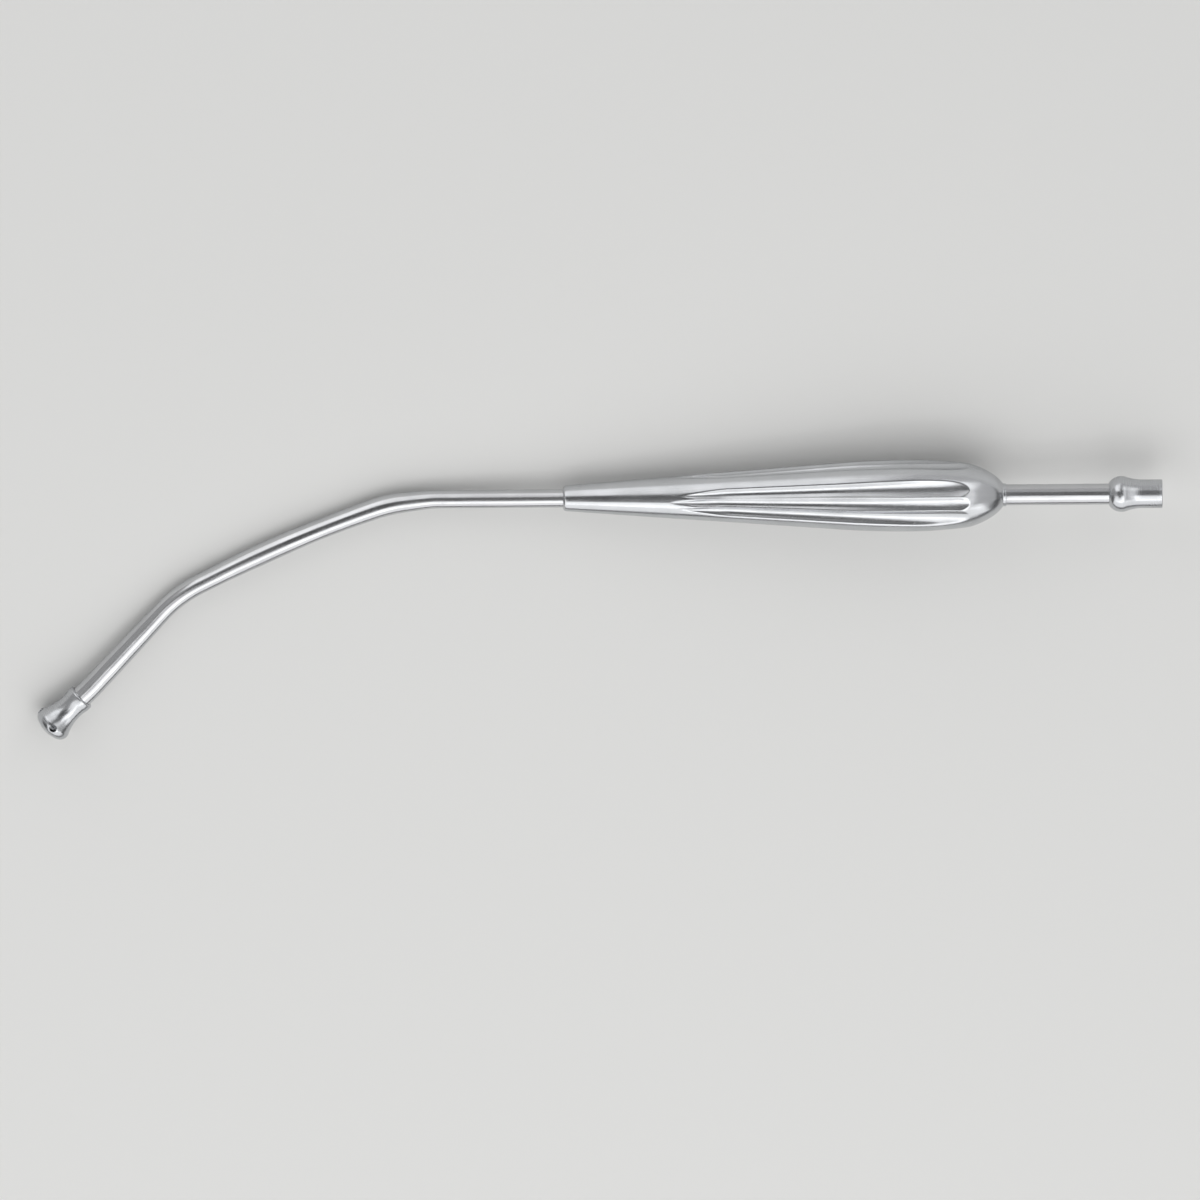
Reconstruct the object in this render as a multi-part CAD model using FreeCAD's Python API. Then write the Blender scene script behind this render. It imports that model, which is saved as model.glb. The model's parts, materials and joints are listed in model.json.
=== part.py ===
import FreeCAD, Part
import math
import os

# A reusable stainless-steel suction tube: a bent tube with a turned suction head, a hollow
# fluted handle, a short rear tube and a turned hose connector. All the joints are soldered.
# Lengths are in millimetres and angles in degrees.
#
# Each piece is drawn in the instrument's own axes. X runs along the handle towards the hose,
# with 0 at the handle's nose. The tube bends towards -Y in the XY plane, and the handle's two
# flanks face +Z and -Z. The last section lays the whole instrument down as it rests on a table.

# Handle: a long cone, a round belly and a cap that closes on a short neck.
NOSE_RADIUS = 3.22
NOSE_ROUNDING = 0.9
CONE_LENGTH = 70.0
CONE_RADIUS = 8.57
BELLY_CURVE = 246.0
SHOULDER_CURVE = 85.5
SHOULDER_TURN = 7.9
CORNER_CURVE = 19.7
CORNER_TURN = 26.0
CAP_END_CURVE = 10.3
HANDLE_WALL = 2.3
NECK_LENGTH = 0.8
NECK_LIP = 0.25

# Flutes: hollow grooves in four groups, with smooth lands between the groups.
FLUTE_PITCH = 24.3
FLUTE_DEPTH = 1.55
RIDGE_DROP = 0.2
FLANK_FLUTES = 3
EDGE_FLUTES = 2
FLUTE_START = 26.0
FLUTE_STAGGER = 2.2
FLUTE_RUN_IN = 6.5
FLUTE_RUN_OUT = 5.4
FLUTE_END = 102.4
FLUTE_DRAW_IN = 0.55
FULL_PITCH_PLACE = 95.0
FLUTE_OVERRUN = 1.5

# Suction tube: it runs from the head through the handle and into the rear tube.
TUBE_RADIUS = 2.3
TUBE_WALL = 0.45
NOSE_RUN = 31.5
FIRST_BEND = 6.0
FLARE_RUN = 5.0
SECOND_BEND = 13.3
HANDLE_SIDE_BEND_RADIUS = 34.0
SWEEP = 7.6
SWEEP_RADIUS = 320.0
SWEEP_END_RUN = 6.0
THIRD_BEND = 20.5
THIRD_BEND_RADIUS = 34.0
TIP_RUN = 25.0
HEAD_SET = -3.5
HEAD_SET_RADIUS = 60.0
HEAD_RUN = 1.5
SWEEP_TUBE_RADIUS = 2.6
THIRD_BEND_TUBE_RADIUS = 2.45
TIP_TUBE_RADIUS = 2.8

# Suction head: a collar, a waist and a flared rim with four side holes, closed by a dome.
HEAD_LENGTH = 12.9
HEAD_SOCKET = 5.5
COLLAR_RADIUS = 3.56
COLLAR_CHAMFER = 0.3
WAIST_X = 3.95
WAIST_RADIUS = 3.31
RIM_X = 10.2
RIM_RADIUS = 4.82
RIM_ROUNDING = 2.1
SIDE_HOLES = 4
SIDE_HOLE_RADIUS = 0.95
MOUTH_RADIUS = 1.8
MOUTH_CHAMFER = 0.3

# Rear tube and hose connector.
REAR_TUBE_RADIUS = 2.65
REAR_TUBE_VISIBLE = 26.0
REAR_TUBE_INSERT = 14.0
TUBE_OVERLAP = 10.0
CONNECTOR_LENGTH = 13.5
CONNECTOR_SOCKET = 8.0
BARREL_RADIUS = 3.62
BULB_RADIUS = 4.55
BULB_FROM_END = 10.4
BARREL_BLEND = 12.0
BARREL_CHAMFER = 0.2

# Radial room for solder wherever one piece is sleeved in another.
SOLDER_GAP = 0.05

# Room by which a cutting body passes the face that it opens.
CLEAR = 1.0

# The cone's slope and lean, and the belly that its arc leads to.
CONE_SLOPE = (CONE_RADIUS - NOSE_RADIUS) / CONE_LENGTH
CONE_LEAN = math.degrees(math.atan(CONE_SLOPE))
BELLY_X = CONE_LENGTH + BELLY_CURVE * math.sin(math.radians(CONE_LEAN))
BELLY_RADIUS = CONE_RADIUS + BELLY_CURVE * (1 - math.cos(math.radians(CONE_LEAN)))
NECK_RADIUS = REAR_TUBE_RADIUS + NECK_LIP


def at(x, radius):
    """A point of an outline that is turned about the X axis."""
    return FreeCAD.Vector(x, radius, 0)


def direction(angle):
    """The unit vector at an angle from +X, in the XY plane."""
    return FreeCAD.Vector(math.cos(math.radians(angle)), math.sin(math.radians(angle)), 0)


def crown_arcs():
    """The belly and the cap: each arc's centre, radius and the angles that it starts and ends at.

    Each arc is tangent to the one before it. The last one ends at the neck.
    """
    place = at(CONE_LENGTH, CONE_RADIUS)
    angle = 90 + CONE_LEAN
    arcs = []
    for radius, turn in ((BELLY_CURVE, CONE_LEAN), (SHOULDER_CURVE, SHOULDER_TURN), (CORNER_CURVE, CORNER_TURN)):
        centre = place - direction(angle) * radius
        arcs.append((centre, radius, angle, angle - turn))
        angle -= turn
        place = centre + direction(angle) * radius
    centre = place - direction(angle) * CAP_END_CURVE
    neck_angle = math.degrees(math.asin((NECK_RADIUS - centre.y) / CAP_END_CURVE))
    arcs.append((centre, CAP_END_CURVE, angle, neck_angle))
    return arcs


CROWN_ARCS = crown_arcs()
HANDLE_END = CROWN_ARCS[-1][0].x + CAP_END_CURVE * math.cos(math.radians(CROWN_ARCS[-1][3]))
NECK_END = HANDLE_END + NECK_LENGTH
REAR_TUBE_START = NECK_END - REAR_TUBE_INSERT
CONNECTOR_START = NECK_END + REAR_TUBE_VISIBLE
CONNECTOR_END = CONNECTOR_START + CONNECTOR_LENGTH
REAR_TUBE_END = CONNECTOR_START + CONNECTOR_SOCKET
TUBE_END = REAR_TUBE_START + TUBE_OVERLAP
REAR_BORE_RADIUS = TUBE_RADIUS + SOLDER_GAP


def turned(edges):
    """Closes an outline along the axis and turns it into a solid."""
    first = edges[0].firstVertex(True).Point
    last = edges[-1].lastVertex(True).Point
    corners = [last, at(last.x, 0), at(first.x, 0), first]
    closing = [Part.makeLine(a, b) for a, b in zip(corners, corners[1:]) if a.distanceToPoint(b) > 1e-6]
    face = Part.Face(Part.Wire(edges + closing))
    return face.revolve(FreeCAD.Vector(), FreeCAD.Vector(1, 0, 0), 360)


def polyline(points):
    """Straight edges through a row of points."""
    return [Part.makeLine(a, b) for a, b in zip(points, points[1:])]


def arc_about(centre, radius, start, end):
    """An arc of an outline, from one angle to another, through the angle midway."""
    points = [centre + direction(angle) * radius for angle in (start, (start + end) / 2, end)]
    return Part.Arc(*points).toShape()


def angle_to(centre, point):
    """The direction of a point from a centre, in degrees."""
    return math.degrees(math.atan2(point.y - centre.y, point.x - centre.x))


def cylinder(radius, start, end):
    """A round bar on the X axis."""
    return Part.makeCylinder(radius, end - start, at(start, 0), FreeCAD.Vector(1, 0, 0))


def handle_radius(x):
    """The handle's outer radius at a distance from its nose, before it is fluted."""
    if x <= CONE_LENGTH:
        return NOSE_RADIUS + CONE_SLOPE * x
    for centre, radius, _, end in CROWN_ARCS:
        if x <= centre.x + radius * math.cos(math.radians(end)):
            return centre.y + math.sqrt(radius**2 - (x - centre.x) ** 2)
    return NECK_RADIUS


def make_handle():
    """The hollow handle: turned outside and inside, with the flutes cut into it."""
    # The nose's rounded edge is tangent to its flat face and to the cone.
    centre_r = NOSE_RADIUS + CONE_SLOPE * NOSE_ROUNDING - NOSE_ROUNDING / math.cos(math.radians(CONE_LEAN))
    rounding = arc_about(at(NOSE_ROUNDING, centre_r), NOSE_ROUNDING, 180, 90 + CONE_LEAN)
    crown = [arc_about(*arc) for arc in CROWN_ARCS]
    outside = turned(
        [rounding, Part.makeLine(rounding.lastVertex(True).Point, crown[0].firstVertex(True).Point)]
        + crown
        + polyline([crown[-1].lastVertex(True).Point, at(NECK_END, NECK_RADIUS)]))

    # The cavity opens from the nose's bore where the wall has its full thickness. It follows the
    # outside in straight stretches, which keep a full wall under each joint of the arcs.
    nose_bore = TUBE_RADIUS + SOLDER_GAP
    rear_bore = REAR_TUBE_RADIUS + SOLDER_GAP
    cavity_start = (nose_bore + HANDLE_WALL - NOSE_RADIUS) / CONE_SLOPE
    inner = [centre + direction(start) * (radius - HANDLE_WALL) for centre, radius, start, _ in CROWN_ARCS]
    inside = turned(polyline(
        [at(-CLEAR, nose_bore), at(cavity_start, nose_bore)] + inner
        + [at(HANDLE_END - HANDLE_WALL, rear_bore), at(NECK_END + CLEAR, rear_bore)]))
    handle = outside.cut(inside)
    for angle, offset in flute_places():
        handle = handle.cut(make_flute(angle, offset))
    return handle


def flute_places():
    """The direction of each flute about the axis, and how far it is from its group's middle."""
    places = []
    for middle, count in ((0, FLANK_FLUTES), (90, EDGE_FLUTES), (180, FLANK_FLUTES), (270, EDGE_FLUTES)):
        for k in range(count):
            offset = k - (count - 1) / 2
            places.append((middle + offset * FLUTE_PITCH, offset))
    return places


def make_flute(angle, offset):
    """The body that cuts one flute, turned about the groove's own axis.

    On the cone the groove keeps its shape in proportion to the handle's radius, so its axis runs
    through the cone's apex. Its bottom plunges into the metal, follows the handle, and leaves it
    on a slope at the cap. Neighbours in a group cross just under the handle's surface, and that
    leaves a sharp ridge between them. The outer ones lean towards the group's middle, so that the
    group ends in a point near the nose.
    """
    half = math.radians(FLUTE_PITCH / 2)
    crest = BELLY_RADIUS - RIDGE_DROP
    belly_bottom = BELLY_RADIUS - FLUTE_DEPTH
    sagitta = crest * math.cos(half) - belly_bottom
    groove = ((crest * math.sin(half)) ** 2 + sagitta**2) / (2 * sagitta)
    bottom = belly_bottom / BELLY_RADIUS
    axis_share = bottom + groove / BELLY_RADIUS
    apex = at(-NOSE_RADIUS / CONE_SLOPE, 0)
    axis = at(1, axis_share * CONE_SLOPE)
    axis.normalize()

    start = FLUTE_START + abs(offset) * FLUTE_STAGGER
    full = start + FLUTE_RUN_IN
    rise = FLUTE_END - FLUTE_RUN_OUT
    # The plunge and the rise go on past the surface in the same straight lines.
    plunge = [at(start, handle_radius(start)), at(full, handle_radius(full) * bottom)]
    leave = [at(rise, belly_bottom), at(FLUTE_END, handle_radius(FLUTE_END))]
    ahead = plunge[0] + (plunge[0] - plunge[1]) * (FLUTE_OVERRUN / FLUTE_RUN_IN)
    beyond = leave[1] + (leave[1] - leave[0]) * (FLUTE_OVERRUN / FLUTE_RUN_OUT)
    cone_end = at(CONE_LENGTH, CONE_RADIUS * bottom)
    over = Part.Arc(cone_end, at(BELLY_X, belly_bottom), leave[0]).toShape()
    foot_ahead = apex + axis * (ahead - apex).dot(axis)
    foot_beyond = apex + axis * (beyond - apex).dot(axis)
    outline = polyline([ahead, plunge[1], cone_end]) + [over]
    outline += polyline([leave[0], beyond, foot_beyond, foot_ahead, ahead])
    body = Part.Face(Part.Wire(outline)).revolve(apex, axis, 360)
    body.rotate(at(FULL_PITCH_PLACE, 0), FreeCAD.Vector(0, 1, 0), offset * FLUTE_DRAW_IN)
    # The outline lies towards +Y, and the flutes' angles start at +Z.
    body.rotate(FreeCAD.Vector(), FreeCAD.Vector(1, 0, 0), 90 - angle)
    return body


def tube_route():
    """The tube's centre line from its end in the rear tube: straight runs and tangent bends.

    A run gives its length and the tube's radius at its end. A bend gives its turn and its radius.
    """
    return [
        ("run", TUBE_END + NOSE_RUN, TUBE_RADIUS),
        ("bend", FIRST_BEND, HANDLE_SIDE_BEND_RADIUS),
        ("run", FLARE_RUN, SWEEP_TUBE_RADIUS),
        ("bend", SECOND_BEND, HANDLE_SIDE_BEND_RADIUS),
        ("bend", SWEEP, SWEEP_RADIUS),
        ("run", SWEEP_END_RUN, THIRD_BEND_TUBE_RADIUS),
        ("bend", THIRD_BEND, THIRD_BEND_RADIUS),
        ("run", TIP_RUN, TIP_TUBE_RADIUS),
        ("bend", HEAD_SET, HEAD_SET_RADIUS),
        ("run", HEAD_RUN + HEAD_SOCKET, TIP_TUBE_RADIUS),
    ]


def follow_route(inset):
    """A solid along the route, made smaller all round by inset, with its last place and heading."""
    place = at(TUBE_END, 0)
    heading = 180.0
    radius = TUBE_RADIUS
    lengths = []
    for kind, size, end in tube_route():
        if kind == "run":
            ahead = direction(heading)
            if abs(end - radius) > 1e-6:
                lengths.append(Part.makeCone(radius - inset, end - inset, size, place, ahead))
            else:
                lengths.append(Part.makeCylinder(radius - inset, size, place, ahead))
            place = place + ahead * size
            radius = end
        else:
            side = direction(heading + math.copysign(90, size))
            centre = place + side * end
            disc = Part.Face(Part.Wire([Part.Circle(place, direction(heading), radius - inset).toShape()]))
            lengths.append(disc.revolve(centre, FreeCAD.Vector(0, 0, math.copysign(1, size)), abs(size)))
            heading += size
            place = centre - direction(heading + math.copysign(90, size)) * end
    return lengths[0].fuse(lengths[1:]), place, heading


def make_suction_tube():
    """The long bent tube, open at both ends."""
    return follow_route(0)[0].cut(follow_route(TUBE_WALL)[0])


def head_outline():
    """The head's outside, with 0 at the collar's face and its dome at HEAD_LENGTH."""
    rim = at(RIM_X, RIM_RADIUS - RIM_ROUNDING)
    # The waist's arc touches the rim's arc from outside.
    reach = RIM_X - WAIST_X
    drop = WAIST_RADIUS - rim.y
    waist_curve = (reach**2 + drop**2 - RIM_ROUNDING**2) / (2 * (RIM_ROUNDING - drop))
    waist = at(WAIST_X, WAIST_RADIUS + waist_curve)
    # The dome's arc, with its centre on the axis, touches the rim's arc from inside.
    back = HEAD_LENGTH - RIM_X
    dome_curve = (back**2 + rim.y**2 - RIM_ROUNDING**2) / (2 * (back - RIM_ROUNDING))
    dome = at(HEAD_LENGTH - dome_curve, 0)
    waist_start = WAIST_X - math.sqrt(waist_curve**2 - (waist.y - COLLAR_RADIUS) ** 2)
    collar_edge = at(waist_start, COLLAR_RADIUS)
    rim_start = angle_to(rim, waist)
    rim_end = angle_to(dome, rim)
    return [
        *polyline([at(0, COLLAR_RADIUS - COLLAR_CHAMFER), at(COLLAR_CHAMFER, COLLAR_RADIUS), collar_edge]),
        arc_about(waist, waist_curve, angle_to(waist, collar_edge), angle_to(waist, rim)),
        arc_about(rim, RIM_ROUNDING, rim_start, rim_end),
        arc_about(dome, dome_curve, rim_end, 0),
    ]


def make_tip_head():
    """The turned head, with its socket for the tube, its chamber, its mouth and its side holes."""
    body = turned(head_outline())
    lumen = TIP_TUBE_RADIUS - TUBE_WALL
    socket = cylinder(TIP_TUBE_RADIUS + SOLDER_GAP, -CLEAR, HEAD_SOCKET)
    chamber = cylinder(lumen, 0, RIM_X + SIDE_HOLE_RADIUS + MOUTH_CHAMFER)
    mouth = cylinder(MOUTH_RADIUS, 0, HEAD_LENGTH + CLEAR)
    flare = Part.makeCone(MOUTH_RADIUS, MOUTH_RADIUS + 2 * MOUTH_CHAMFER, 2 * MOUTH_CHAMFER,
                          at(HEAD_LENGTH - MOUTH_CHAMFER, 0), FreeCAD.Vector(1, 0, 0))
    body = body.cut(socket.fuse([chamber, mouth, flare]))
    for k in range(SIDE_HOLES):
        hole = Part.makeCylinder(SIDE_HOLE_RADIUS, RIM_RADIUS + CLEAR, at(RIM_X, 0), FreeCAD.Vector(0, 0, 1))
        hole.rotate(FreeCAD.Vector(), FreeCAD.Vector(1, 0, 0), 360 * k / SIDE_HOLES)
        body = body.cut(hole)
    # The socket's bottom lies on the tube's end.
    _, place, heading = follow_route(0)
    body.rotate(FreeCAD.Vector(), FreeCAD.Vector(0, 0, 1), heading)
    body.translate(place - direction(heading) * HEAD_SOCKET)
    return body


def make_rear_tube():
    """The short tube that joins the handle to the hose connector."""
    tube = cylinder(REAR_TUBE_RADIUS, REAR_TUBE_START, REAR_TUBE_END)
    return tube.cut(cylinder(REAR_BORE_RADIUS, REAR_TUBE_START - CLEAR, REAR_TUBE_END + CLEAR))


def make_hose_connector():
    """The turned connector: a bulb that holds the hose, blended into a plain barrel."""
    bulb = at(CONNECTOR_END - BULB_FROM_END, 0)
    behind = CONNECTOR_LENGTH - BULB_FROM_END
    back = at(CONNECTOR_START, math.sqrt(BULB_RADIUS**2 - behind**2))
    # The blend touches the bulb and the barrel.
    blend_y = BARREL_RADIUS + BARREL_BLEND
    blend_x = bulb.x + math.sqrt((BULB_RADIUS + BARREL_BLEND) ** 2 - blend_y**2)
    blend = at(blend_x, blend_y)
    mouth_edge = BARREL_RADIUS - BARREL_CHAMFER
    outline = [
        arc_about(bulb, BULB_RADIUS, angle_to(bulb, back), angle_to(bulb, blend)),
        arc_about(blend, BARREL_BLEND, angle_to(blend, bulb), -90),
    ]
    outline += polyline([
        at(blend_x, BARREL_RADIUS),
        at(CONNECTOR_END - BARREL_CHAMFER, BARREL_RADIUS),
        at(CONNECTOR_END, mouth_edge),
    ])
    body = turned(outline)
    socket = cylinder(REAR_TUBE_RADIUS + SOLDER_GAP, CONNECTOR_START - CLEAR, REAR_TUBE_END)
    lumen = cylinder(REAR_BORE_RADIUS, CONNECTOR_START, CONNECTOR_END + CLEAR)
    return body.cut(socket.fuse(lumen))


def lowest(points, down):
    """The point of a cloud that lies furthest along a direction."""
    return max(points, key=lambda p: p.dot(down))


def resting_direction(handle, tube, head):
    """The direction that points down when the handle, the tube and the head touch a table.

    The table is the plane through the three touching points. They move a little as the
    direction changes, so the plane is found again until it stays where it is.
    """
    clouds = [piece.tessellate(0.02)[0] for piece in (handle, tube, head)]
    down = FreeCAD.Vector(0, 0, -1)
    for _ in range(12):
        a, b, c = [lowest(cloud, down) for cloud in clouds]
        normal = (b - a).cross(c - a)
        normal.normalize()
        down = normal if normal.z < 0 else -normal
    return down


def lay_down(pieces):
    """Turns every piece so that the instrument rests on Z = 0, centred on the origin."""
    down = resting_direction(pieces["handle"], pieces["suction_tube"], pieces["tip_head"])
    level = FreeCAD.Rotation(down, FreeCAD.Vector(0, 0, -1))
    ahead = level.multVec(FreeCAD.Vector(1, 0, 0))
    yaw = FreeCAD.Rotation(FreeCAD.Vector(0, 0, 1), -math.degrees(math.atan2(ahead.y, ahead.x)))
    turn = FreeCAD.Placement(FreeCAD.Vector(), yaw.multiply(level))
    laid = {name: shape.transformed(turn.toMatrix(), True) for name, shape in pieces.items()}
    points = [point for shape in laid.values() for point in shape.tessellate(0.01)[0]]
    middle_x, middle_y = [(min(values) + max(values)) / 2 for values in zip(*[(p.x, p.y) for p in points])]
    shift = FreeCAD.Vector(-middle_x, -middle_y, -min(p.z for p in points))
    for shape in laid.values():
        shape.translate(shift)
    return laid, turn, shift


def main():
    pieces = {
        "tip_head": make_tip_head(),
        "suction_tube": make_suction_tube(),
        "handle": make_handle(),
        "rear_tube": make_rear_tube(),
        "hose_connector": make_hose_connector(),
    }
    laid, turn, shift = lay_down(pieces)
    os.makedirs("parts", exist_ok=True)
    for name, shape in laid.items():
        shape.exportStep(f"parts/{name}.step")
        print(name, "solids", len(shape.Solids), "valid", shape.isValid(), "volume", round(shape.Volume, 2))
    _, place, heading = follow_route(0)
    named = {
        "handle axis": (at(1, 0), FreeCAD.Vector()),
        "flank": (FreeCAD.Vector(0, 0, 1), FreeCAD.Vector()),
        "tip axis": (direction(heading), FreeCAD.Vector()),
        "handle nose": (at(0, 0), shift),
        "connector end": (at(CONNECTOR_END, 0), shift),
        "tip end": (place + direction(heading) * (HEAD_LENGTH - HEAD_SOCKET), shift),
    }
    for name, (vector, offset) in named.items():
        print(name, [round(v, 5) for v in turn.Rotation.multVec(vector) + offset])


main()
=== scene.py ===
# %% [markdown]
# # A reusable steel suction tube
# This lesson dresses a surgical suction tube: a bent steel tube with a perforated head, a hollow
# fluted handle, a short rear tube and a hose connector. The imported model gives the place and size
# of each piece, and this script gives them finely modelled skins and satin-polished steel.

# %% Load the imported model
import json
import math

import bmesh
import bpy
from mathutils import Matrix, Vector


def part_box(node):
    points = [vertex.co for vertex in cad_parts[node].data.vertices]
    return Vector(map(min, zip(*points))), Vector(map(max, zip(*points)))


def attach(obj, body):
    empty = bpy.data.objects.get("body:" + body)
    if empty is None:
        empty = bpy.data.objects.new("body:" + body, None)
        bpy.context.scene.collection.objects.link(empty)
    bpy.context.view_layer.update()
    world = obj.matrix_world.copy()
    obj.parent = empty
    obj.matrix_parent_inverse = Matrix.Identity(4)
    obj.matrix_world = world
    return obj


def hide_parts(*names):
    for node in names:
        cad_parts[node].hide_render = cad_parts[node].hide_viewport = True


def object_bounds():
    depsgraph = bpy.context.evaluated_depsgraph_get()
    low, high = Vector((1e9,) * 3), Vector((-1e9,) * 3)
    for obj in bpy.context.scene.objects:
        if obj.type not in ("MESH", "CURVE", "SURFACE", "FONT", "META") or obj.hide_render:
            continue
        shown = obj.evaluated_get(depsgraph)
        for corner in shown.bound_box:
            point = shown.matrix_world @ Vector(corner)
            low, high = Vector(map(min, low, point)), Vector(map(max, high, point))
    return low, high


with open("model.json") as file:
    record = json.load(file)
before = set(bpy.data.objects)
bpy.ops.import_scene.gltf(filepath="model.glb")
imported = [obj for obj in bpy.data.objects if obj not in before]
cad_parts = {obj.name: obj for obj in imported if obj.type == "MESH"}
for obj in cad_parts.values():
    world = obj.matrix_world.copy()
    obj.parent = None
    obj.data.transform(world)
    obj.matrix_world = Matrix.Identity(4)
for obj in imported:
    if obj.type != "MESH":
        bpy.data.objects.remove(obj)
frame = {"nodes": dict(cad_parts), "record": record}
cad_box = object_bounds()
print("nodes", sorted(frame["nodes"]), "box", [round(v, 4) for corner in cad_box for v in corner])

# %% [markdown]
# ## The instrument's own axes
# The instrument lies on a table, so its handle leans a little. It is much easier to model each
# piece in the instrument's own axes: X runs along the handle towards the hose, with 0 at the
# handle's nose, the tube bends towards -Y, and Z points out of the flank. The hose mount gives
# the handle's line, and the middle of the suction head gives the plane of the bends.

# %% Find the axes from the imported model
MM = 0.001
CONNECTOR_END = 151.605
MOUNT_FROM_END = 2.5

barrel_mount = next(m for m in frame["record"]["mounts"] if m["name"] == "hose_barrel")
along = Vector(barrel_mount["axis"]).normalized()
nose = Vector(barrel_mount["pos_m"]) - along * (CONNECTOR_END - MOUNT_FROM_END) * MM
head_low, head_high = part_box("tip_head")
across = (head_low + head_high) / 2 - nose
flank = along.cross(across).normalized()
flank = flank if flank.z > 0 else -flank
side = flank.cross(along)
INSTRUMENT = Matrix((
    (along.x, side.x, flank.x, nose.x),
    (along.y, side.y, flank.y, nose.y),
    (along.z, side.z, flank.z, nose.z),
    (0, 0, 0, 1),
)) @ Matrix.Scale(MM, 4)
print("flank", [round(v, 5) for v in flank], "nose", [round(v, 5) for v in nose])

# %% [markdown]
# ## Outlines made of arcs
# Turned pieces are drawn on a lathe's terms: an outline of straight stretches and tangent arcs,
# given as distances along the axis and radii. These helpers make the points of an arc, and the
# circle through three points, which is how a grinder would set out a long shallow curve.

# %% Outline helpers
def arc(centre_x, centre_y, radius, start, end, count):
    """Points of an arc, with angles in degrees from the axis's direction."""
    steps = [math.radians(start + (end - start) * k / count) for k in range(count + 1)]
    return [(centre_x + radius * math.cos(a), centre_y + radius * math.sin(a)) for a in steps]


def angle_to(centre, point):
    """The direction from a centre to a point, in degrees."""
    return math.degrees(math.atan2(point[1] - centre[1], point[0] - centre[0]))


def bend_through(first, middle, last):
    """A function that gives the height at x of the circle through three points."""
    (ax, ay), (bx, by), (cx, cy) = first, middle, last
    twice_area = 2 * (ax * (by - cy) + bx * (cy - ay) + cx * (ay - by))
    a2, b2, c2 = ax * ax + ay * ay, bx * bx + by * by, cx * cx + cy * cy
    ux = (a2 * (by - cy) + b2 * (cy - ay) + c2 * (ay - by)) / twice_area
    uy = (a2 * (cx - bx) + b2 * (ax - cx) + c2 * (bx - ax)) / twice_area
    radius = math.hypot(ax - ux, ay - uy)
    above = 1 if ay > uy else -1
    return lambda x: uy + above * math.sqrt(max(0.0, radius**2 - (x - ux) ** 2))


def spread(start, end, count):
    """Evenly spaced values from start to end, both included."""
    return [start + (end - start) * k / count for k in range(count + 1)]


print("a quarter arc", [(round(x, 2), round(y, 2)) for x, y in arc(0, 0, 1, 90, 0, 3)])

# %% [markdown]
# ## From rings to a mesh
# Every piece here is a closed skin of rings: the outside from one end to the other, and back
# along the bore. One function joins the rings with quads. It also stores where each point lies on
# the straightened piece, because a polishing wheel's marks run along or round the metal, also
# where the tube is bent. Points that fall together, as where a flute begins, are merged.

# %% Build a piece from rings
LAY = "lay"
MERGE_DISTANCE = 2e-6


def skin(name, rings, lays, crease=40):
    """A closed, smooth skin through rings of points in millimetres, all with the same count."""
    mesh = bpy.data.meshes.new(name)
    shape = bmesh.new()
    layer = shape.verts.layers.float_vector.new(LAY)
    count = len(rings[0])
    rows = []
    for ring, lay_ring in zip(rings, lays):
        row = []
        for point, lay in zip(ring, lay_ring):
            vertex = shape.verts.new(INSTRUMENT @ Vector(point))
            vertex[layer] = lay
            row.append(vertex)
        rows.append(row)
    for k in range(len(rows)):
        one, two = rows[k], rows[(k + 1) % len(rows)]
        for j in range(count):
            shape.faces.new((one[j], one[(j + 1) % count], two[(j + 1) % count], two[j]))
    bmesh.ops.remove_doubles(shape, verts=shape.verts, dist=MERGE_DISTANCE)
    bmesh.ops.dissolve_degenerate(shape, edges=shape.edges, dist=MERGE_DISTANCE)
    bmesh.ops.recalc_face_normals(shape, faces=shape.faces)
    shape.to_mesh(mesh)
    shape.free()
    mesh.shade_smooth()
    mesh.set_sharp_from_angle(angle=math.radians(crease))
    piece = bpy.data.objects.new(name, mesh)
    bpy.context.scene.collection.objects.link(piece)
    print(name, "faces", len(mesh.polygons))
    return piece


def turned(name, outline, segments, place=Matrix.Identity(4)):
    """A closed outline of (x, radius) points, turned about the X axis and moved to its place."""
    rings = []
    lays = []
    for x, radius in outline:
        turns = [2 * math.pi * k / segments for k in range(segments)]
        flat = [Vector((x, radius * math.cos(a), radius * math.sin(a))) for a in turns]
        rings.append([place @ point for point in flat])
        lays.append(flat)
    return skin(name, rings, lays)


print("points closer than", MERGE_DISTANCE / MM, "mm become one")

# %% [markdown]
# ## The handle's outline
# The handle is a long cone, a round belly and a cap. Its crown is four arcs, each tangent to the
# last: the belly's long arc takes over from the cone, a shoulder and a corner turn it down, and a
# round end closes on the neck.

# %% Handle outline
NOSE_RADIUS = 3.22
NOSE_ROUNDING = 0.9
CONE_LENGTH = 70.0
CONE_RADIUS = 8.57
CROWN = [(246.0, None), (85.5, 7.9), (19.7, 26.0), (10.3, None)]
NECK_RADIUS = 2.9
NECK_LENGTH = 0.8
NECK_ROUNDING = 0.22
NOSE_BORE = 2.31
REAR_BORE = 2.66

cone_slope = (CONE_RADIUS - NOSE_RADIUS) / CONE_LENGTH
cone_lean = math.degrees(math.atan(cone_slope))


def crown_arcs():
    """Each arc's centre, radius, and the angles at which it starts and ends."""
    x, y, angle = CONE_LENGTH, CONE_RADIUS, 90 + cone_lean
    arcs = []
    for radius, turn in CROWN:
        cx = x - radius * math.cos(math.radians(angle))
        cy = y - radius * math.sin(math.radians(angle))
        if radius == CROWN[0][0]:
            end = 90
        elif turn is None:
            end = math.degrees(math.asin((NECK_RADIUS - cy) / radius))
        else:
            end = angle - turn
        arcs.append((cx, cy, radius, angle, end))
        x = cx + radius * math.cos(math.radians(end))
        y = cy + radius * math.sin(math.radians(end))
        angle = end
    return arcs, x


crown, handle_end = crown_arcs()
belly_x = crown[0][0]
belly_radius = crown[0][1] + crown[0][2]
neck_end = handle_end + NECK_LENGTH


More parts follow.
